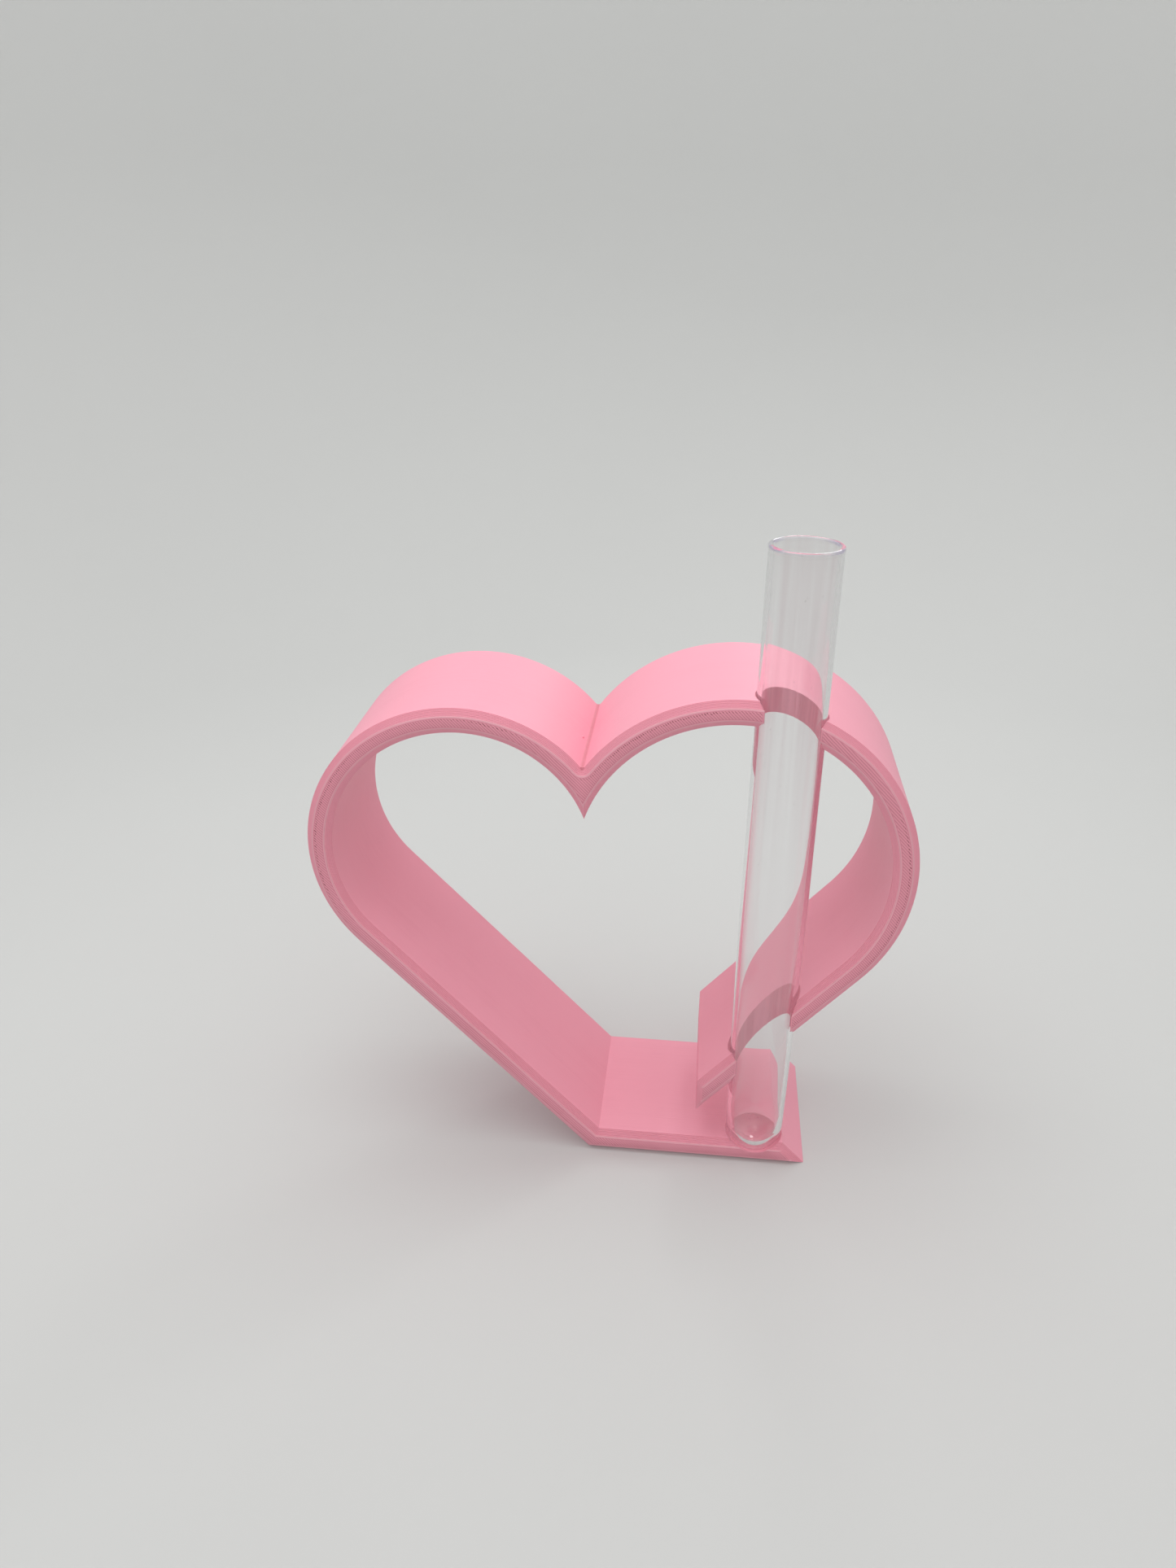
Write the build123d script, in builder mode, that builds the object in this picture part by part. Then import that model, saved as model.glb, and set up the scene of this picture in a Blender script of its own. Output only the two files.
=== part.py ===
"""Heart-shaped ribbon stand holding a round-bottomed test tube as a bud vase.

Millimetres, +Z up, front towards -Y.  The origin is the middle of the underside of the foot,
so the stand rests on Z = 0.
"""

from build123d import *
import os
from math import cos, radians, sin, sqrt

os.makedirs("parts", exist_ok=True)

# ---- ribbon: one strip bent into a foot, two lobes and two legs ----
DEPTH = 40.0  # width of the strip, front to back
STRIP = 5.6  # thickness of the strip
EDGE = 1.5  # chamfer round the front and the back outline
HALF = DEPTH / 2

# ---- foot ----
FOOT_LENGTH = 53.0  # underside, from the bend of the left leg to the free end
FOOT_SLOPE = 45.0  # the free end slopes parallel to the left leg
FOOT_LEFT = -FOOT_LENGTH / 2
FOOT_RIGHT = FOOT_LENGTH / 2

# ---- lobes: two arcs whose centres stand level, either side of the cusp ----
LOBE_HEIGHT = 80.7  # height of both centres above the table
LEFT_RADIUS = 35.0  # outer radius of the smaller, left lobe
RIGHT_RADIUS = 40.0  # outer radius of the larger, right lobe
LOBE_SPREAD = 60.2  # between the two centres
LEFT_LEAN = 45.75  # slope of the left leg
RIGHT_LEAN = 49.4  # slope of the right leg
CUSP_ROUND = 0.8  # inside radius of the valley between the lobes

# the left leg's outer line runs down to the left end of the foot, which places the left lobe
LEFT_X = FOOT_LEFT - (LOBE_HEIGHT * cos(radians(LEFT_LEAN)) - LEFT_RADIUS) / sin(radians(LEFT_LEAN))
RIGHT_X = LEFT_X + LOBE_SPREAD
LEG_END_X = RIGHT_X - 4.6  # upright cut that ends the right leg above the foot

# ---- tube ----
TUBE_RADIUS = 7.5  # 15 mm tube
TUBE_LENGTH = 150.8
TUBE_WALL = 1.0
TUBE_TOE_RADIUS = 6.9  # at the bottom of the drafted lower part
TUBE_DRAFT_TOP = 60.0  # height above the tube's own tip where the draft ends
TUBE_FLOOR = 1.8  # thickness of the rounded bottom
RIM_BEAD = 0.12  # how far the fire-polished rim stands proud
RIM_HEIGHT = 1.2
TUBE_X = RIGHT_X + 10.0
TUBE_Y = -HALF + 5.2  # the tube stands proud of the front face

# ---- pocket and snap notches, all cut by one tube-shaped tool ----
CLEARANCE = 0.3  # round the straight part of the tube
POCKET_RADIUS = TUBE_RADIUS + CLEARANCE
POCKET_FLOOR = 1.2  # strip left under the pocket
TUBE_TIP = POCKET_FLOOR + 0.4  # height of the tube's lowest point


def at(centre_x, radius, degrees):
    """Point of a lobe circle, as (x, z)."""
    turn = radians(degrees)
    return (centre_x + radius * cos(turn), LOBE_HEIGHT + radius * sin(turn))


def cusp(left_radius, right_radius):
    """Upper crossing of two lobe circles, as (x, z)."""
    along = (left_radius**2 - right_radius**2 + LOBE_SPREAD**2) / (2 * LOBE_SPREAD)
    return (LEFT_X + along, LOBE_HEIGHT + sqrt(left_radius**2 - along**2))


def left_leg(radius, height):
    """Where the left leg's line of the given radius comes down to a height, as (x, z)."""
    turn = radians(LEFT_LEAN)
    return (LEFT_X + ((LOBE_HEIGHT - height) * cos(turn) - radius) / sin(turn), height)


def right_leg(radius, x):
    """Point at x on the right leg's line that touches the circle of a radius."""
    turn = radians(RIGHT_LEAN)
    return (x, LOBE_HEIGHT - (radius - (x - RIGHT_X) * sin(turn)) / cos(turn))


INNER_LEFT = LEFT_RADIUS - STRIP
INNER_RIGHT = RIGHT_RADIUS - STRIP
OUTER_CUSP = cusp(LEFT_RADIUS, RIGHT_RADIUS)
INNER_CUSP = cusp(INNER_LEFT, INNER_RIGHT)
LEFT_TANGENT = 270.0 - LEFT_LEAN
RIGHT_TANGENT = RIGHT_LEAN - 90.0
FOOT_TOP_RIGHT = FOOT_RIGHT - STRIP / sin(radians(FOOT_SLOPE)) * cos(radians(FOOT_SLOPE))


with BuildPart() as heart_stand:
    # one closed outline seen from the front, pulled through the depth of the strip
    with BuildSketch(Plane.XZ.offset(-HALF)):
        with BuildLine():
            Line((FOOT_LEFT, 0), at(LEFT_X, LEFT_RADIUS, LEFT_TANGENT))
            ThreePointArc(
                at(LEFT_X, LEFT_RADIUS, LEFT_TANGENT),
                at(LEFT_X, LEFT_RADIUS, 135),
                OUTER_CUSP,
            )
            ThreePointArc(
                OUTER_CUSP,
                at(RIGHT_X, RIGHT_RADIUS, 45),
                at(RIGHT_X, RIGHT_RADIUS, RIGHT_TANGENT),
            )
            Line(at(RIGHT_X, RIGHT_RADIUS, RIGHT_TANGENT), right_leg(RIGHT_RADIUS, LEG_END_X))
            Line(right_leg(RIGHT_RADIUS, LEG_END_X), right_leg(INNER_RIGHT, LEG_END_X))
            Line(right_leg(INNER_RIGHT, LEG_END_X), at(RIGHT_X, INNER_RIGHT, RIGHT_TANGENT))
            ThreePointArc(
                at(RIGHT_X, INNER_RIGHT, RIGHT_TANGENT),
                at(RIGHT_X, INNER_RIGHT, 45),
                INNER_CUSP,
            )
            ThreePointArc(
                INNER_CUSP,
                at(LEFT_X, INNER_LEFT, 135),
                at(LEFT_X, INNER_LEFT, LEFT_TANGENT),
            )
            Line(at(LEFT_X, INNER_LEFT, LEFT_TANGENT), left_leg(INNER_LEFT, STRIP))
            Line(left_leg(INNER_LEFT, STRIP), (FOOT_TOP_RIGHT, STRIP))
            Line((FOOT_TOP_RIGHT, STRIP), (FOOT_RIGHT, 0))
            Line((FOOT_RIGHT, 0), (FOOT_LEFT, 0))
        make_face()
    extrude(amount=DEPTH)

    # soften the valley between the lobes, then chamfer the whole front and back outline
    valley = heart_stand.edges().filter_by(Axis.Y).sort_by_distance((OUTER_CUSP[0], 0, OUTER_CUSP[1]))[0]
    fillet(valley, CUSP_ROUND)
    front_outline = heart_stand.faces().sort_by(Axis.Y)[0].edges()
    back_outline = heart_stand.faces().sort_by(Axis.Y)[-1].edges()
    chamfer(front_outline + back_outline, EDGE)

    # round-bottomed pocket in the foot and the two snap notches above it
    with Locations((TUBE_X, TUBE_Y, POCKET_FLOOR + POCKET_RADIUS)):
        Sphere(POCKET_RADIUS, mode=Mode.SUBTRACT)
        Cylinder(
            POCKET_RADIUS,
            TUBE_LENGTH,
            align=(Align.CENTER, Align.CENTER, Align.MIN),
            mode=Mode.SUBTRACT,
        )

heart_stand.part.label = "heart_stand"
export_step(heart_stand.part, "parts/heart_stand.step")


TUBE_TOP = TUBE_TIP + TUBE_LENGTH
TOE_TOP = TUBE_TIP + TUBE_TOE_RADIUS
BORE_RADIUS = TUBE_RADIUS - TUBE_WALL
BORE_TOE_RADIUS = TUBE_TOE_RADIUS - TUBE_WALL
BORE_TOE_TOP = TUBE_TIP + TUBE_FLOOR + BORE_TOE_RADIUS
DRAFT_TOP = TUBE_TIP + TUBE_DRAFT_TOP
TUBE_PLANE = Plane(origin=(TUBE_X, TUBE_Y, 0), x_dir=(1, 0, 0), z_dir=(0, -1, 0))


def dome(radius, top):
    """Lower quarter circle from the axis out to the wall."""
    slant = radius * sin(radians(45))
    ThreePointArc((0, top - radius), (slant, top - slant), (radius, top))


with BuildPart() as test_tube:
    # half section of the tube, turned about its own axis
    with BuildSketch(TUBE_PLANE):
        with BuildLine():
            dome(TUBE_TOE_RADIUS, TOE_TOP)
            Line((TUBE_TOE_RADIUS, TOE_TOP), (TUBE_RADIUS, DRAFT_TOP))
            Line((TUBE_RADIUS, DRAFT_TOP), (TUBE_RADIUS, TUBE_TOP - RIM_HEIGHT))
            Line((TUBE_RADIUS, TUBE_TOP - RIM_HEIGHT), (TUBE_RADIUS + RIM_BEAD, TUBE_TOP - 0.8))
            Line((TUBE_RADIUS + RIM_BEAD, TUBE_TOP - 0.8), (TUBE_RADIUS + RIM_BEAD, TUBE_TOP - 0.3))
            Line((TUBE_RADIUS + RIM_BEAD, TUBE_TOP - 0.3), (TUBE_RADIUS - 0.2, TUBE_TOP))
            Line((TUBE_RADIUS - 0.2, TUBE_TOP), (BORE_RADIUS, TUBE_TOP))
            Line((BORE_RADIUS, TUBE_TOP), (BORE_RADIUS, DRAFT_TOP))
            Line((BORE_RADIUS, DRAFT_TOP), (BORE_TOE_RADIUS, BORE_TOE_TOP))
            dome(BORE_TOE_RADIUS, BORE_TOE_TOP)
            Line((0, BORE_TOE_TOP - BORE_TOE_RADIUS), (0, TUBE_TIP))
        make_face()
    revolve(axis=Axis((TUBE_X, TUBE_Y, 0), (0, 0, 1)), revolution_arc=360)

test_tube.part.label = "test_tube"
export_step(test_tube.part, "parts/test_tube.step")
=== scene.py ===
"""Looks of the heart-shaped ribbon stand and the clear test tube that stands in it.

Shapes are worked out in millimetres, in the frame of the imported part, and turned into metres
when each piece is made.  Z is up and the front is towards -Y.
"""

from math import atan2, cos, pi, radians, sin, sqrt

import bmesh
import bpy
import numpy as np
from mathutils import Matrix, Vector


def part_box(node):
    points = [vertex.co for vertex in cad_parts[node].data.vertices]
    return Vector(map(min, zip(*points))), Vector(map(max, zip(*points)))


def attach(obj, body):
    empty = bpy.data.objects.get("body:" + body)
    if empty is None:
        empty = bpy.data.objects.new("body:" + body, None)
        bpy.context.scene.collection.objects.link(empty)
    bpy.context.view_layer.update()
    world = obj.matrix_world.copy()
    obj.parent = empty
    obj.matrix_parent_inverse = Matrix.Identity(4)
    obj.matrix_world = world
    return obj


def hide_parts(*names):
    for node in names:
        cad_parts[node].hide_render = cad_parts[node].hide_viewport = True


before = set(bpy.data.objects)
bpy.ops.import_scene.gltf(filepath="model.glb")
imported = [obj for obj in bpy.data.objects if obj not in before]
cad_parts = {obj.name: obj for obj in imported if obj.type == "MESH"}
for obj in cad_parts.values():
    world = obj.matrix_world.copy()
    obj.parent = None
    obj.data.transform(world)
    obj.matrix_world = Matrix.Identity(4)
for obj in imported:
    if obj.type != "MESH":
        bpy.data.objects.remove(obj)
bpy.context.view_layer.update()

MM = 0.001
random = np.random.default_rng(11)

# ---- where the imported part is, in millimetres ----
STAND_LOW, STAND_HIGH = (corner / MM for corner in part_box("heart_stand"))
TUBE_LOW, TUBE_HIGH = (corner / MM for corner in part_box("test_tube"))
TUBE_X = (TUBE_LOW.x + TUBE_HIGH.x) / 2
TUBE_Y = (TUBE_LOW.y + TUBE_HIGH.y) / 2
FRONT, BACK = STAND_LOW.y, STAND_HIGH.y

# ---- the ribbon ----
STRIP = 5.6  # thickness
EDGE = 1.5  # chamfer round the front and the back outline
LEFT_RADIUS = 35.0  # outer radius of the left lobe
RIGHT_RADIUS = 40.0  # outer radius of the right lobe
INNER_LEFT = LEFT_RADIUS - STRIP
INNER_RIGHT = RIGHT_RADIUS - STRIP
LEFT_LEAN = radians(45.75)
RIGHT_LEAN = radians(49.4)
VALLEY_ROUND = 0.8  # inside radius of the valley between the lobes
LOBE_HEIGHT = STAND_HIGH.z - RIGHT_RADIUS
LEFT_X = STAND_LOW.x + LEFT_RADIUS
RIGHT_X = STAND_HIGH.x - RIGHT_RADIUS
LEG_END_X = RIGHT_X - 4.6  # upright cut that ends the right leg
FOOT_LEFT = LEFT_X + (LOBE_HEIGHT * cos(LEFT_LEAN) - LEFT_RADIUS) / sin(LEFT_LEAN)
FOOT_RIGHT = -FOOT_LEFT
FOOT_SLOPE = radians(45)

# ---- the print ----
LAYER = 0.25
BEAD_NOTCH = 0.07  # how far the seam between two layers lies behind the layers' middles
BEAD = ((0.0, 1.0), (0.12, 0.3), (0.35, 0.0), (0.65, 0.0), (0.88, 0.3), (1.0, 1.0))
FACE_INSET = EDGE - LAYER / 2 + BEAD_NOTCH  # edge of the flat front and back faces
ROAD = 0.5  # pitch of the diagonal lines that fill those faces
WALL_ROAD = 0.42  # width of the line that runs round them

# ---- blob of filament beside the valley ----
BLOB_RADIUS = 0.32
BLOB_Y = -4.5
BLOB_TURN = radians(1.8)  # round the left lobe, from the valley

# ---- pocket and notches, cut from a tube-shaped tool ----
POCKET_RADIUS = 7.8
POCKET_FLOOR = 1.2
POCKET_CENTRE = POCKET_FLOOR + POCKET_RADIUS
TOOL_TOP = STAND_HIGH.z + 4
TOOL_FIRST_LAYER = -12  # counted from the front face, clear in front of it
TOOL_SIDE_STEPS = 48
TOOL_BOTTOM_STEPS = 24
WIDTH_WANDER = 0.035  # how far one layer's cut lies off its true half width, at most
SLOW_WAVE = 0.03  # how far the lips wander sideways on the way up
QUICK_WAVE = 0.02

# ---- tube ----
RIM_BEAD = 0.12  # how far the rim stands proud
RIM_ROUND = 0.42  # height of the rim's rounded top
TUBE_RADIUS = (TUBE_HIGH.x - TUBE_LOW.x) / 2 - RIM_BEAD
TUBE_WALL = 1.0
TOE_RADIUS = 6.9
TUBE_FLOOR = 1.8
DRAFT_TOP = TUBE_LOW.z + 60.0
CORE_STEP = 0.07  # faint step where the moulding core's round end begins
TUBE_SIDES = 160
DOME_STEPS = 18
DRAFT_STEPS = 12
WALL_STEPS = 18
RIM_STEPS = 12


# ------------------------------------------------------------------ ribbon outline


def circle_point(centre_x, radius, turn):
    """Point of a circle about a lobe's centre, as (x, z)."""
    return (centre_x + radius * cos(turn), LOBE_HEIGHT + radius * sin(turn))


def crossing(left_radius, right_radius):
    """Upper crossing of two circles about the lobes' centres."""
    spread = RIGHT_X - LEFT_X
    along = (left_radius**2 - right_radius**2 + spread**2) / (2 * spread)
    return (LEFT_X + along, LOBE_HEIGHT + sqrt(left_radius**2 - along**2))


def left_leg(radius, height):
    """Where the left leg's line that touches a circle comes down to a height."""
    x = LEFT_X + ((LOBE_HEIGHT - height) * cos(LEFT_LEAN) - radius) / sin(LEFT_LEAN)
    return (x, height)


def right_leg(radius, x):
    """Point at x of the right leg's line that touches a circle."""
    drop = (radius - (x - RIGHT_X) * sin(RIGHT_LEAN)) / cos(RIGHT_LEAN)
    return (x, LOBE_HEIGHT - drop)


def turn_of(centre_x, point):
    """Direction of a point from a lobe's centre."""
    return atan2(point[1] - LOBE_HEIGHT, point[0] - centre_x)


def straight(start, end, steps):
    """Points from start up to but not including end."""
    return [
        (start[0] + (end[0] - start[0]) * i / steps, start[1] + (end[1] - start[1]) * i / steps)
        for i in range(steps)
    ]


def arc(centre_x, radius, start, end, steps):
    """Points of a lobe circle from one direction up to but not including another."""
    return [circle_point(centre_x, radius, start + (end - start) * i / steps) for i in range(steps)]


FOOT_STEPS = 14
LEFT_LEG_STEPS = 12
LOBE_STEPS = 74
VALLEY_STEPS = 8
RIGHT_LEG_STEPS = 8
VALLEY_CENTRE = crossing(LEFT_RADIUS + VALLEY_ROUND, RIGHT_RADIUS + VALLEY_ROUND)
LEFT_TANGENT = pi * 1.5 - LEFT_LEAN
RIGHT_TANGENT = RIGHT_LEAN - pi / 2


def outer_chain(inset):
    """Underside of the foot, then round the outside to the right leg's cut end."""
    left, right = LEFT_RADIUS - inset, RIGHT_RADIUS - inset
    toe = (FOOT_RIGHT - inset / sin(FOOT_SLOPE) - inset, inset)
    left_valley = turn_of(LEFT_X, VALLEY_CENTRE)
    right_valley = turn_of(RIGHT_X, VALLEY_CENTRE)
    points = straight(toe, left_leg(left, inset), FOOT_STEPS)
    points += straight(left_leg(left, inset), circle_point(LEFT_X, left, LEFT_TANGENT), LEFT_LEG_STEPS)
    points += arc(LEFT_X, left, LEFT_TANGENT, left_valley, LOBE_STEPS)
    start, end = left_valley + pi, right_valley + pi
    if end < start:
        end += 2 * pi
    for i in range(VALLEY_STEPS):
        turn = start + (end - start) * i / VALLEY_STEPS
        radius = VALLEY_ROUND + inset
        points.append((VALLEY_CENTRE[0] + radius * cos(turn), VALLEY_CENTRE[1] + radius * sin(turn)))
    points += arc(RIGHT_X, right, right_valley, RIGHT_TANGENT, LOBE_STEPS)
    end_point = right_leg(right, LEG_END_X + inset)
    points += straight(circle_point(RIGHT_X, right, RIGHT_TANGENT), end_point, RIGHT_LEG_STEPS)
    return points + [end_point]


def inner_chain(inset):
    """Top of the foot, then round the inside, point for point beside the outer chain."""
    left, right = INNER_LEFT + inset, INNER_RIGHT + inset
    height = STRIP - inset
    toe = (FOOT_RIGHT - inset / sin(FOOT_SLOPE) - height, height)
    cusp = crossing(left, right)
    half_valley = VALLEY_STEPS // 2
    points = straight(toe, left_leg(left, height), FOOT_STEPS)
    points += straight(left_leg(left, height), circle_point(LEFT_X, left, LEFT_TANGENT), LEFT_LEG_STEPS)
    points += arc(LEFT_X, left, LEFT_TANGENT, turn_of(LEFT_X, cusp), LOBE_STEPS + half_valley)
    points += arc(RIGHT_X, right, turn_of(RIGHT_X, cusp), RIGHT_TANGENT, LOBE_STEPS + half_valley)
    end_point = right_leg(right, LEG_END_X + inset)
    points += straight(circle_point(RIGHT_X, right, RIGHT_TANGENT), end_point, RIGHT_LEG_STEPS)
    return points + [end_point]


# ------------------------------------------------------------------ mesh helpers


def mesh_object(name, vertices, faces):
    mesh = bpy.data.meshes.new(name)
    mesh.from_pydata([tuple(v) for v in vertices], [], faces)
    mesh.update()
    piece = bpy.data.objects.new(name, mesh)
    bpy.context.scene.collection.objects.link(piece)
    return piece


def loft(rings):
    """Quads between closed rings of the same length, one after another."""
    count = len(rings[0])
    vertices = [point for ring in rings for point in ring]
    faces = []
    for low in range(0, (len(rings) - 1) * count, count):
        high = low + count
        for i in range(count):
            j = (i + 1) % count
            faces.append((low + i, low + j, high + j, high + i))
    return vertices, faces


def combine(piece, tool, operation):
    """Boolean of two solids.  The tool is used up."""
    modifier = piece.modifiers.new("combine", "BOOLEAN")
    modifier.operation = operation
    modifier.solver = "EXACT"
    modifier.object = tool
    graph = bpy.context.evaluated_depsgraph_get()
    result = bpy.data.meshes.new_from_object(piece.evaluated_get(graph))
    piece.modifiers.clear()
    spent = piece.data
    piece.data = result
    bpy.data.meshes.remove(spent)
    bpy.data.objects.remove(tool)


def smooth(piece, sharp_angle):
    piece.data.polygons.foreach_set("use_smooth", [True] * len(piece.data.polygons))
    piece.data.set_sharp_from_angle(angle=radians(sharp_angle))


def to_metres(piece):
    piece.data.transform(Matrix.Scale(MM, 4))
    piece.data.update()


# ------------------------------------------------------------------ printed stand


def layer_rings(low, inset_of_layer, layers):
    """(y, inset) of the rings that make each printed layer a rounded bead."""
    rings = []
    for k in range(layers):
        for across, depth in BEAD:
            rings.append((low + (k + across) * LAYER, inset_of_layer(k) + depth * BEAD_NOTCH))
    return rings


def stand_rings():
    """(y, inset) of every ring, from the front face to the back face."""
    steps = round(EDGE / LAYER)
    spans = 10
    front = layer_rings(FRONT, lambda k: EDGE - (k + 0.5) * LAYER, steps)
    back = layer_rings(BACK - EDGE, lambda k: (k + 0.5) * LAYER, steps)
    middle = [
        (FRONT + EDGE + (BACK - FRONT - 2 * EDGE) * i / spans, 0.0) for i in range(spans + 1)
    ]
    return front + middle + back


def printed_ribbon():
    """The ribbon before the tube's notches are cut, its chamfers stepped layer by layer."""
    outlines = {}
    rings = []
    for y, inset in stand_rings():
        if inset not in outlines:
            outlines[inset] = (outer_chain(inset), inner_chain(inset))
        outer, inner = outlines[inset]
        rings.append([(x, y, z) for x, z in outer + inner[::-1]])
    vertices, faces = loft(rings)
    count = len(rings[0])
    last = len(vertices) - count
    half = count // 2
    for i in range(half - 1):
        outer_now, outer_next, inner_next, inner_now = i, i + 1, count - 2 - i, count - 1 - i
        faces.append((outer_now, inner_now, inner_next, outer_next))
        faces.append((last + outer_now, last + outer_next, last + inner_next, last + inner_now))
    return mesh_object("heart_stand_print", vertices, faces)


def lip_wave(z, slow, quick, phases):
    """Small sideways wander of a notch's wall at a height."""
    return SLOW_WAVE * sin(z * slow + phases[0]) + QUICK_WAVE * sin(z * quick + phases[1])


def notch_profile(half_width, phases):
    """(x, z) down the left wall, round the pocket's bottom and up the right wall."""
    height = TOOL_TOP - POCKET_CENTRE
    profile = []
    for i in range(TOOL_SIDE_STEPS):
        z = TOOL_TOP - height * i / TOOL_SIDE_STEPS
        profile.append((TUBE_X - half_width + lip_wave(z, 0.9, 2.3, phases), z))
    for i in range(TOOL_BOTTOM_STEPS + 1):
        turn = pi + pi * i / TOOL_BOTTOM_STEPS
        profile.append((TUBE_X + half_width * cos(turn), POCKET_CENTRE + half_width * sin(turn)))
    for i in range(TOOL_SIDE_STEPS):
        z = POCKET_CENTRE + height * (i + 1) / TOOL_SIDE_STEPS
        profile.append((TUBE_X + half_width + lip_wave(z, 0.8, 2.1, phases[::-1]), z))
    return profile


def notch_tool():
    """Tube-shaped cutter, as the printer's layers leave it: one width for each layer."""
    rings = []
    layer = TOOL_FIRST_LAYER
    while True:
        middle = FRONT + (layer + 0.5) * LAYER
        reach = POCKET_RADIUS**2 - (middle - TUBE_Y) ** 2
        if middle > TUBE_Y and reach <= 0:
            break
        if reach > 0:
            half_width = sqrt(reach) + random.uniform(-WIDTH_WANDER, WIDTH_WANDER)
            profile = notch_profile(half_width, random.uniform(0, 2 * pi, 2))
            for across in (0.08, 0.92):
                y = FRONT + (layer + across) * LAYER
                rings.append([(x, y, z) for x, z in profile[::-1]])
        layer += 1
    vertices, faces = loft(rings)
    count = len(rings[0])
    faces.append(tuple(range(count))[::-1])
    faces.append(tuple(range(len(vertices) - count, len(vertices))))
    return mesh_object("notch_tool", vertices, faces)


def distance_to_chain(points, chain):
    """Distance of each (x, z) point from an open chain, and how squarely roads meet it there."""
    start, end = np.array(chain[:-1]), np.array(chain[1:])
    along = end - start
    share = ((points[:, None] - start) * along).sum(2) / (along**2).sum(1)
    nearest = start + along * np.clip(share, 0, 1)[..., None]
    distance = np.sqrt(((points[:, None] - nearest) ** 2).sum(2))
    squareness = np.abs(along.sum(1)) / np.sqrt(2 * (along**2).sum(1))
    return distance.min(1), squareness[distance.argmin(1)]


def write_face_distances(piece):
    """How far each vertex lies from the outlines, for the lines printed on the flat faces."""
    corners = np.empty(len(piece.data.vertices) * 3)
    piece.data.vertices.foreach_get("co", corners)
    corners = corners.reshape(-1, 3)
    flat = corners[:, [0, 2]]
    lip = sqrt(POCKET_RADIUS**2 - (FRONT - TUBE_Y) ** 2)
    off_axis = np.hypot(corners[:, 0] - TUBE_X, np.minimum(corners[:, 2] - POCKET_CENTRE, 0))
    from_outer, squareness = distance_to_chain(flat, outer_chain(0))
    values = {
        "from_outer": from_outer,
        "from_inner": distance_to_chain(flat, inner_chain(0))[0],
        "squareness": squareness,
        "from_notch": np.where(corners[:, 1] < 0, off_axis - lip + FACE_INSET, STRIP),
    }
    for name, value in values.items():
        attribute = piece.data.attributes.new(name, "FLOAT", "POINT")
        attribute.data.foreach_set("value", value.astype(np.float32))


def blemish():
    """Small blob of filament that the nozzle left beside the valley, front of the middle."""
    turn = turn_of(LEFT_X, VALLEY_CENTRE) + BLOB_TURN
    x, z = circle_point(LEFT_X, LEFT_RADIUS, turn)
    ball = bmesh.new()
    bmesh.ops.create_icosphere(ball, subdivisions=3, radius=BLOB_RADIUS)
    bmesh.ops.translate(ball, verts=ball.verts, vec=(x, BLOB_Y, z))
    mesh = bpy.data.meshes.new("blemish")
    ball.to_mesh(mesh)
    ball.free()
    piece = bpy.data.objects.new("blemish", mesh)
    bpy.context.scene.collection.objects.link(piece)
    return piece


def make_stand(material):
    piece = printed_ribbon()
    combine(piece, notch_tool(), "DIFFERENCE")
    combine(piece, blemish(), "UNION")
    write_face_distances(piece)
    smooth(piece, 38)
    piece.data.materials.clear()
    piece.data.materials.append(material)
    to_metres(piece)
    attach(piece, "stand")
    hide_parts("heart_stand")


# ------------------------------------------------------------------ clear tube


def quarter(radius, centre_z, steps):
    """(radius, height) from the lowest point of a dome up to but not including its widest."""
    return [
        (radius * sin(pi / 2 * i / steps), centre_z - radius * cos(pi / 2 * i / steps))
        for i in range(steps)
    ]


def tube_profile():
    """(radius, height) from the outside of the tip, over the rim, to the inside of the tip."""
    tip, top = TUBE_LOW.z, TUBE_HIGH.z
    bore, toe_bore = TUBE_RADIUS - TUBE_WALL, TOE_RADIUS - TUBE_WALL
    toe_top = tip + TOE_RADIUS
    bore_toe_top = tip + TUBE_FLOOR + toe_bore
    bead_foot = top - 1.3
    bore_top = top - 1.0

    outside = quarter(TOE_RADIUS, toe_top, DOME_STEPS)
    for i in range(DRAFT_STEPS + 1):
        share = i / DRAFT_STEPS
        radius = TOE_RADIUS + (TUBE_RADIUS - TOE_RADIUS) * share
        outside.append((radius, toe_top + (DRAFT_TOP - toe_top) * share))
    for i in range(1, WALL_STEPS + 1):
        outside.append((TUBE_RADIUS, DRAFT_TOP + (bead_foot - DRAFT_TOP) * i / WALL_STEPS))
    outside += [(TUBE_RADIUS + 0.05, top - 1.05), (TUBE_RADIUS + RIM_BEAD, top - 0.8)]

    half_wall = (TUBE_WALL + RIM_BEAD) / 2
    rim_middle = TUBE_RADIUS + RIM_BEAD - half_wall
    rim = []
    for i in range(RIM_STEPS + 1):
        turn = pi * i / RIM_STEPS
        rim.append((rim_middle + half_wall * cos(turn), top - RIM_ROUND + RIM_ROUND * sin(turn)))

    inside = [
        (bore, bore_top - (bore_top - DRAFT_TOP) * i / WALL_STEPS) for i in range(WALL_STEPS + 1)
    ]
    for i in range(1, DRAFT_STEPS):
        share = i / DRAFT_STEPS
        height = DRAFT_TOP + (bore_toe_top - DRAFT_TOP) * share
        inside.append((bore + (toe_bore - bore) * share, height))
    inside += [(toe_bore + CORE_STEP, bore_toe_top + 0.5), (toe_bore, bore_toe_top + 0.2)]
    inside += quarter(toe_bore, bore_toe_top, DOME_STEPS)[::-1]
    return outside + rim + inside


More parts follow.
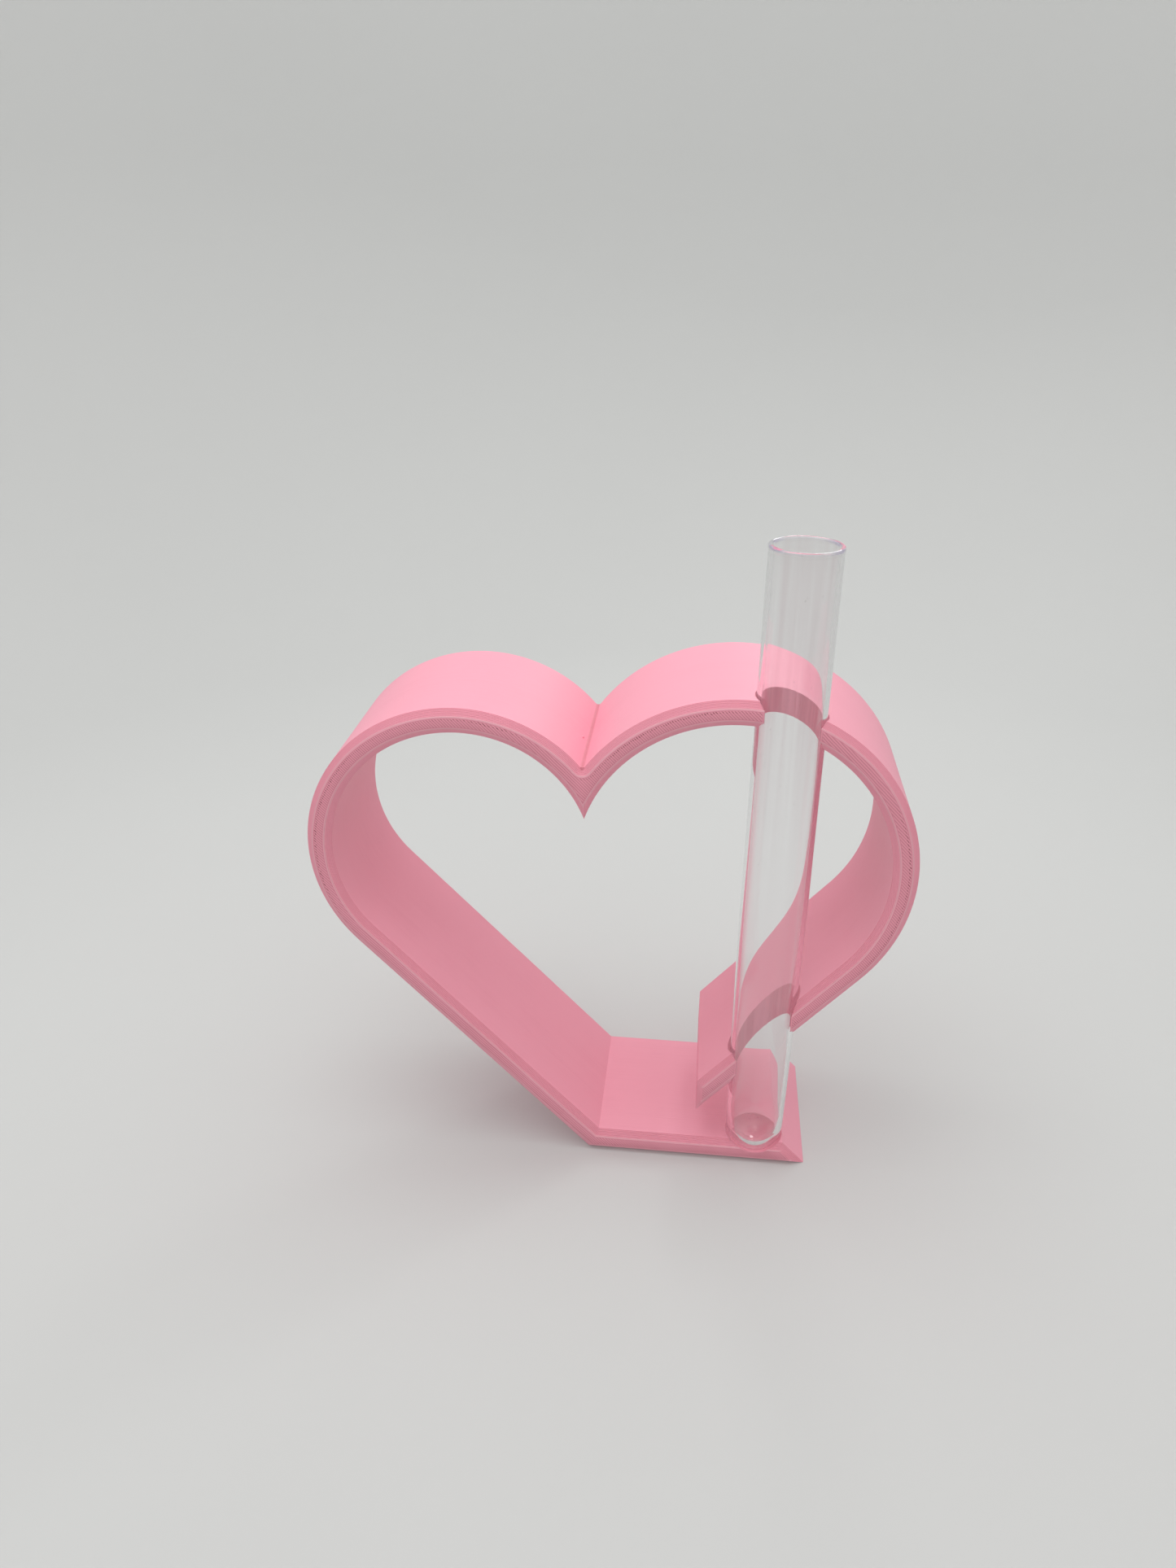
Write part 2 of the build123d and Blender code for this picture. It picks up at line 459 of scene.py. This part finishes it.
def make_tube(material):
    profile = tube_profile()
    outer_tip, inner_tip = profile[0][1], profile[-1][1]
    turns = [2 * pi * i / TUBE_SIDES for i in range(TUBE_SIDES)]
    rings = [
        [(TUBE_X + radius * cos(turn), TUBE_Y + radius * sin(turn), z) for turn in turns]
        for radius, z in profile[1:-1]
    ]
    vertices, faces = loft(rings)
    count = len(vertices)
    last = count - TUBE_SIDES
    vertices += [(TUBE_X, TUBE_Y, outer_tip), (TUBE_X, TUBE_Y, inner_tip)]
    for i in range(TUBE_SIDES):
        j = (i + 1) % TUBE_SIDES
        faces.append((count, j, i))
        faces.append((count + 1, last + i, last + j))
    piece = mesh_object("test_tube_clear", vertices, faces)
    smooth(piece, 60)
    piece.data.materials.append(material)
    to_metres(piece)
    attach(piece, "tube")
    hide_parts("test_tube")


# ------------------------------------------------------------------ materials

WHITE = (1.0, 1.0, 1.0, 1)
PINK = (0.880, 0.362, 0.456, 1)
# darker pink: painted shade in seams and creases, and the filament's own darker tones
SHADE_AND_TONE_PINK = (0.56, 0.15, 0.195, 1)
# painted shade of the pinholes
PINHOLE_SHADE_RED = (0.28, 0.05, 0.07, 1)
# painted highlight along the edges of the flat faces
EDGE_HIGHLIGHT_PINK = (0.97, 0.60, 0.66, 1)
CLEAR = (0.985, 0.982, 0.985, 1)
HAZE = (0.935, 0.90, 0.91, 1)
# painted shade where the tube's wall turns edge-on
WALL_EDGE_SHADE = (0.80, 0.81, 0.82, 1)
LILAC = (0.50, 0.42, 0.64, 1)
DUST = (0.45, 0.43, 0.42, 1)
WALL_PASSES = (0.97, 0.97, 0.97, 1)  # share of the light that goes straight through the tube
PAPER_LOW = (0.515, 0.52, 0.51, 1)
PAPER_HIGH = (0.535, 0.54, 0.53, 1)
PAPER_FAR = (0.52, 0.52, 0.51, 1)
PAPER_GLOW = 0.08

# depths of the relief that is too fine for the mesh, in millimetres
LAYER_RELIEF = 0.012
STREAK_RELIEF = 0.03
ROAD_RELIEF = 0.025

# distances over which a pinhole's painted shade and the painted highlight along the faces' edges fade
# out, in millimetres
PINHOLE_CORE, PINHOLE_RIM = 0.07, 0.18
CORNER_CORE, CORNER_RIM = 0.08, 0.24


class Recipe:
    """One material's node tree, with short calls for the nodes that it needs."""

    def __init__(self, name):
        self.material = bpy.data.materials.new(name)
        self.material.use_nodes = True
        self.tree = self.material.node_tree
        self.shader = self.tree.nodes["Principled BSDF"]
        self.output = self.tree.nodes["Material Output"]

    def feed(self, socket, value):
        if isinstance(value, bpy.types.NodeSocket):
            self.tree.links.new(value, socket)
        else:
            socket.default_value = value

    def node(self, kind, sockets=None, **settings):
        made = self.tree.nodes.new("ShaderNode" + kind)
        for key, value in settings.items():
            setattr(made, key, value)
        for key, value in (sockets or {}).items():
            self.feed(made.inputs[key], value)
        return made

    def math(self, operation, *values):
        made = self.node("Math", operation=operation)
        for socket, value in zip(made.inputs, values):
            self.feed(socket, value)
        return made.outputs[0]

    def product(self, first, *others):
        for other in others:
            first = self.math("MULTIPLY", first, other)
        return first

    def total(self, first, *others):
        for other in others:
            first = self.math("ADD", first, other)
        return first

    def swing(self, value, amount):
        """How far a value of 0 to 1 lies off its middle, scaled."""
        return self.product(self.math("SUBTRACT", value, 0.5), amount)

    def attribute(self, name):
        return self.node("Attribute", attribute_name=name).outputs["Fac"]

    def ramp(self, value, low, high, to_low=0.0, to_high=1.0):
        """Smooth step from to_low to to_high as value goes from low to high."""
        sockets = {"Value": value, "From Min": low, "From Max": high}
        sockets |= {"To Min": to_low, "To Max": to_high}
        return self.node("MapRange", sockets, interpolation_type="SMOOTHSTEP").outputs[0]

    def noise(self, vector, scale, detail=2.0):
        sockets = {"Vector": vector, "Scale": scale, "Detail": detail}
        return self.node("TexNoise", sockets).outputs["Fac"]

    def mix(self, factor, first, second):
        made = self.node("Mix", data_type="RGBA")
        colours = [s for s in made.inputs if s.type == "RGBA"]
        self.feed(made.inputs[0], factor)
        self.feed(colours[0], first)
        self.feed(colours[1], second)
        return [s for s in made.outputs if s.type == "RGBA"][0]

    def stretched(self, vector, x, y, z):
        sockets = {0: vector, 1: (x, y, z)}
        return self.node("VectorMath", sockets, operation="MULTIPLY").outputs[0]

    def millimetres(self):
        """The piece's own coordinates in millimetres."""
        place = self.node("TexCoord").outputs["Object"]
        return self.node("VectorMath", {0: place, "Scale": 1 / MM}, operation="SCALE").outputs[0]

    def distance(self, position, point, axes):
        """Distance from a point, along the axes whose number is 1."""
        offset = self.node("VectorMath", {0: position, 1: point}, operation="SUBTRACT").outputs[0]
        level = self.stretched(offset, *axes)
        return self.node("VectorMath", {0: level}, operation="LENGTH").outputs["Value"]

    def bead(self, position):
        """Rounded road of width 1: 0 in the seams and 1 along the middle."""
        off_middle = self.math("SUBTRACT", self.math("FRACT", position), 0.5)
        square = self.product(off_middle, off_middle)
        return self.math("SUBTRACT", 1.0, self.product(square, 4.0))

    def bump(self, height, depth, before=None):
        sockets = {"Height": height, "Distance": depth * MM, "Strength": 1.0}
        if before is not None:
            sockets["Normal"] = before
        return self.node("Bump", sockets).outputs[0]


def face_roads(r, across, rim):
    """Height of the roads on the flat faces: one round the edge, diagonal ones inside it."""
    fill = r.ramp(rim, WALL_ROAD - 0.04, WALL_ROAD + 0.04)
    wall_road = r.bead(r.math("DIVIDE", rim, WALL_ROAD))
    roads = {0: fill, 2: wall_road, 3: r.bead(across)}
    return r.node("Mix", roads, data_type="FLOAT").outputs[0]


def pinholes(r, mm, across, rim):
    """Small gaps, near the wall road, where the diagonal roads turn back: 1 in them, else 0."""
    off_middle = r.math("ABSOLUTE", r.math("SUBTRACT", r.math("FRACT", across), 0.5))
    off_seam = r.product(r.math("SUBTRACT", 0.5, off_middle), ROAD)
    stray = r.product(r.noise(mm, 1.3, 1.0), 1.1)
    off_rim = r.math("SUBTRACT", rim, r.total(stray, WALL_ROAD - 0.2))
    spread = r.math("SQRT", r.total(r.product(off_seam, off_seam), r.product(off_rim, off_rim)))
    return r.ramp(spread, PINHOLE_CORE, PINHOLE_RIM, 1.0, 0.0)


def starved_places(r, mm, z, outer, inner):
    """Where the filament ran thin: patches of the outer side, fewer of them down the legs."""
    patches = r.ramp(r.noise(mm, 0.05, 1.0), 0.38, 0.56, 0.3, 1.0)
    up_the_lobes = r.ramp(z, 40, 75, 0.4, 1.0)
    outer_side = r.math("LESS_THAN", outer, inner)
    met_squarely = r.ramp(r.attribute("squareness"), 0.2, 0.6, 0.1, 1.0)
    return r.product(patches, up_the_lobes, outer_side, met_squarely)


def ragged_cut(r, mm, z, uneven):
    """Ragged ends of the layers, on the walls of the notches and the pocket."""
    off_axis = r.distance(mm, (TUBE_X, TUBE_Y, 0), (1, 1, 0))
    in_notch = r.ramp(off_axis, POCKET_RADIUS + 0.15, POCKET_RADIUS + 0.25, 1.0, 0.0)
    torn = r.noise(r.stretched(mm, 1.2, 2.2, 0.10), 1.0, 3.0)
    ragged = r.total(r.product(uneven, 0.5), r.math("SUBTRACT", torn, 0.35))
    return r.product(ragged, in_notch, r.ramp(z, 3, 12, 0.1, 0.34))


def painted_valley_shade(r, mm):
    """Painted shade along the crease of the valley between the lobes."""
    valley = (VALLEY_CENTRE[0], 0, VALLEY_CENTRE[1] - VALLEY_ROUND)
    return r.ramp(r.distance(mm, valley, (1, 0, 1)), 0.15, 0.7, 0.75, 0.0)


def pink_print():
    """Satin pink filament: fine layers up the sides, diagonal roads on the flat faces."""
    r = Recipe("pink_print")
    mm = r.millimetres()
    x, y, z = r.node("SeparateXYZ", {0: mm}).outputs
    off_centre = r.math("ABSOLUTE", y)
    on_face = r.ramp(off_centre, BACK - 0.06, BACK - 0.03)
    off_face = r.math("SUBTRACT", 1.0, on_face)

    # distances from the outlines, and the roads and the pinholes that follow them
    outer, inner = r.attribute("from_outer"), r.attribute("from_inner")
    outline = r.math("MINIMUM", outer, inner)
    edge = r.math("MINIMUM", outline, r.attribute("from_notch"))
    rim = r.math("SUBTRACT", edge, FACE_INSET)
    across = r.product(r.total(x, z), 1 / (sqrt(2) * ROAD))
    across = r.total(across, r.product(r.noise(mm, 0.35), 0.35))
    roads = face_roads(r, across, rim)
    starved = starved_places(r, mm, z, outer, inner)
    pinhole = r.product(pinholes(r, mm, across, rim), starved, on_face)

    # one bead for each layer, with layers that differ a little from each other
    layer = r.math("DIVIDE", y, LAYER)
    number = r.math("FLOOR", layer)
    uneven = r.node("TexWhiteNoise", {"W": number}, noise_dimensions="1D").outputs["Value"]
    layers = r.total(r.bead(layer), r.product(uneven, 0.6))
    streaks = r.noise(r.stretched(mm, 0.05, 2.6, 0.05), 1.0, 3.0)
    patches = r.noise(mm, 0.09, 2.0)

    # a little deeper: painted shade in the seams between the roads and in the valley's crease; the flat
    # faces a little darker all over; the pink's own tone in the ragged cuts, in some layers, in streaks
    # and in slow patches
    seam = r.product(r.math("SUBTRACT", 1.0, roads), on_face)
    shade_and_tone = r.total(
        r.product(seam, 0.8),
        r.product(on_face, 0.03),
        ragged_cut(r, mm, z, uneven),
        painted_valley_shade(r, mm),
        r.swing(uneven, 0.05),
        r.swing(streaks, 0.10),
        r.swing(patches, 0.16),
    )
    colour = r.mix(r.math("MAXIMUM", shade_and_tone, 0.0), PINK, SHADE_AND_TONE_PINK)
    # painted shade: the pinholes are painted dark red
    colour = r.mix(r.product(pinhole, 0.8), colour, PINHOLE_SHADE_RED)

    # painted highlight: paler lines where the front and back chamfers meet the faces
    off_corner = r.math("ABSOLUTE", r.math("SUBTRACT", outline, FACE_INSET))
    corner = r.ramp(off_corner, CORNER_CORE, CORNER_RIM, 0.45, 0.0)
    corner = r.product(corner, r.ramp(off_centre, BACK - 0.5, BACK - 0.3))
    r.feed(r.shader.inputs["Base Color"], r.mix(corner, colour, EDGE_HIGHLIGHT_PINK))

    r.feed(r.shader.inputs["Roughness"], r.total(r.product(streaks, 0.10), 0.44))
    r.shader.inputs["IOR"].default_value = 1.45
    r.shader.inputs["Specular IOR Level"].default_value = 0.4
    face_height = r.math("SUBTRACT", roads, r.product(pinhole, 0.35))
    normal = r.bump(r.product(layers, off_face), LAYER_RELIEF)
    normal = r.bump(r.product(streaks, off_face), STREAK_RELIEF, normal)
    normal = r.bump(r.product(face_height, on_face), ROAD_RELIEF, normal)
    r.feed(r.shader.inputs["Normal"], normal)
    return r.material


def clear_tube():
    """Clear moulded tube with a lilac rim, faint upright streaks and a few dust specks."""
    r = Recipe("clear_tube")
    mm = r.millimetres()
    split = r.node("SeparateXYZ", {0: mm}).outputs
    x, z = split["X"], split["Z"]
    off_middle = r.math("ABSOLUTE", r.math("SUBTRACT", x, TUBE_X))
    rim = r.product(
        r.ramp(off_middle, TUBE_RADIUS * 0.45, TUBE_RADIUS * 0.9, 0.2, 1.0),
        r.ramp(z, TUBE_HIGH.z - 0.9, TUBE_HIGH.z - 0.3),
    )
    haze = r.ramp(r.noise(r.stretched(mm, 0.45, 0.45, 0.012), 1.0, 3.0), 0.35, 0.65)
    haze = r.product(haze, r.ramp(z, STAND_HIGH.z - 45, STAND_HIGH.z, 0.25, 1.0))
    cells = r.node("TexVoronoi", {"Vector": mm, "Scale": 0.35}, feature="F1")
    speck = r.ramp(cells.outputs["Distance"], 0.02, 0.05, 1.0, 0.0)
    colour = r.mix(rim, r.mix(haze, CLEAR, HAZE), LILAC)
    colour = r.mix(speck, colour, DUST)
    # painted shade: the wall is painted grey where it turns edge-on, for the darker surroundings seen
    # along it
    facing = r.node("LayerWeight", {"Blend": 0.5}).outputs["Facing"]
    colour = r.mix(r.ramp(facing, 0.62, 0.85), colour, WALL_EDGE_SHADE)
    r.feed(r.shader.inputs["Base Color"], colour)
    r.shader.inputs["Roughness"].default_value = 0.0
    r.shader.inputs["Transmission Weight"].default_value = 1.0
    r.shader.inputs["IOR"].default_value = 1.45

    # light passes straight through the clear wall to what stands behind it
    clear = r.node("BsdfTransparent", {"Color": WALL_PASSES}).outputs[0]
    path = r.node("LightPath").outputs
    surface = r.shader.outputs[0]
    for ray in ("Is Reflection Ray", "Is Shadow Ray"):
        surface = r.node("MixShader", {0: path[ray], 1: surface, 2: clear}).outputs[0]
    r.feed(r.output.inputs["Surface"], surface)
    return r.material


def studio_paper():
    """Pale seamless paper with a barely visible mottle."""
    r = Recipe("studio_paper")
    mottle = r.noise(r.node("TexCoord").outputs["Object"], 6.0, 3.0)
    r.feed(r.shader.inputs["Base Color"], r.mix(mottle, PAPER_LOW, PAPER_HIGH))
    r.shader.inputs["Roughness"].default_value = 0.9
    r.shader.inputs["Specular IOR Level"].default_value = 0.2
    # a faint glow of its own stands for the light a whole room throws back into the shadows
    r.shader.inputs["Emission Strength"].default_value = PAPER_GLOW
    return r.material


# ------------------------------------------------------------------ stage, light, camera

FLOOR_RADIUS = 360.0
FLOOR_STEPS = 6
SWEEP_RADIUS = 240.0
SWEEP_STEPS = 16
SWEEP_SIDES = 96
WALL_TOP = 450.0
FLOOR_HEIGHT = -0.05


def make_stage(material):
    """Round seamless sweep: flat floor, then a curve up into an upright wall."""
    profile = [(FLOOR_RADIUS * i / FLOOR_STEPS, FLOOR_HEIGHT) for i in range(1, FLOOR_STEPS + 1)]
    for i in range(1, SWEEP_STEPS + 1):
        turn = pi / 2 * i / SWEEP_STEPS
        radius = FLOOR_RADIUS + SWEEP_RADIUS * sin(turn)
        profile.append((radius, FLOOR_HEIGHT + SWEEP_RADIUS * (1 - cos(turn))))
    profile.append((FLOOR_RADIUS + SWEEP_RADIUS, WALL_TOP))
    turns = [2 * pi * i / SWEEP_SIDES for i in range(SWEEP_SIDES)]
    rings = [[(radius * cos(turn), radius * sin(turn), z) for turn in turns] for radius, z in profile]
    vertices, faces = loft(rings)
    centre = len(vertices)
    vertices.append((0, 0, FLOOR_HEIGHT))
    faces += [(centre, i, (i + 1) % SWEEP_SIDES) for i in range(SWEEP_SIDES)]
    floor = mesh_object("studio_sweep", vertices, faces)
    smooth(floor, 60)
    floor.data.materials.append(material)
    to_metres(floor)


def area_light(name, place, target, size, power):
    lamp = bpy.data.lights.new(name, "AREA")
    lamp.shape = "DISK"
    lamp.size = size
    lamp.energy = power
    holder = bpy.data.objects.new(name, lamp)
    holder.location = place
    holder.rotation_mode = "QUATERNION"
    holder.rotation_quaternion = (Vector(target) - Vector(place)).to_track_quat("-Z", "Y")
    bpy.context.scene.collection.objects.link(holder)


def make_world(colour, strength, behind):
    """Even light from all round, which looks like more of the sweep's paper above its edge."""
    world = bpy.data.worlds.new("studio_air")
    world.use_nodes = True
    nodes, links = world.node_tree.nodes, world.node_tree.links
    lit = nodes["Background"]
    lit.inputs["Color"].default_value = colour
    lit.inputs["Strength"].default_value = strength
    seen = nodes.new("ShaderNodeBackground")
    seen.inputs["Color"].default_value = behind
    mixed = nodes.new("ShaderNodeMixShader")
    links.new(nodes.new("ShaderNodeLightPath").outputs["Is Camera Ray"], mixed.inputs[0])
    links.new(lit.outputs[0], mixed.inputs[1])
    links.new(seen.outputs[0], mixed.inputs[2])
    links.new(mixed.outputs[0], nodes["World Output"].inputs["Surface"])
    bpy.context.scene.world = world


AIR_STRENGTH = 1.13

# lamps, in metres and watts
OVERHEAD_PLACE = (-0.14, -0.03, 0.5)
OVERHEAD_SIZE = 0.35
OVERHEAD_POWER = 0.5
GLINT_PLACE = (0.089, 0.414, 0.358)
GLINT_TARGET = (0.014, -0.015, 0.003)  # the tube's bottom
GLINT_SIZE = 0.1
GLINT_POWER = 0.2

# camera, in millimetres and radians
SENSOR = 36.0  # along the picture's longer side
FOCAL_LENGTH = 27.488
CAMERA_PLACE = (-5.920, -249.269, 209.816)
CAMERA_YAW, CAMERA_PITCH, CAMERA_ROLL = 0.095509, -0.443301, -0.014216


def make_camera():
    lens = bpy.data.cameras.new("view")
    lens.sensor_width = SENSOR
    lens.lens = FOCAL_LENGTH
    lens.clip_start, lens.clip_end = 0.01, 10.0
    camera = bpy.data.objects.new("view", lens)
    # level and looking along +Y, then rolled, pitched and yawed
    look = Matrix.Rotation(CAMERA_YAW, 4, "Z") @ Matrix.Rotation(CAMERA_PITCH, 4, "X")
    look = look @ Matrix.Rotation(CAMERA_ROLL, 4, "Y") @ Matrix.Rotation(pi / 2, 4, "X")
    camera.matrix_world = Matrix.Translation(Vector(CAMERA_PLACE) * MM) @ look
    bpy.context.scene.collection.objects.link(camera)
    bpy.context.scene.camera = camera


make_stand(pink_print())
make_tube(clear_tube())
make_stage(studio_paper())
area_light("overhead", OVERHEAD_PLACE, (0.0, 0.0, 0.0), OVERHEAD_SIZE, OVERHEAD_POWER)
area_light("glint", GLINT_PLACE, GLINT_TARGET, GLINT_SIZE, GLINT_POWER)
make_world(WHITE, AIR_STRENGTH, PAPER_FAR)
make_camera()
bpy.context.scene.view_settings.view_transform = "Standard"
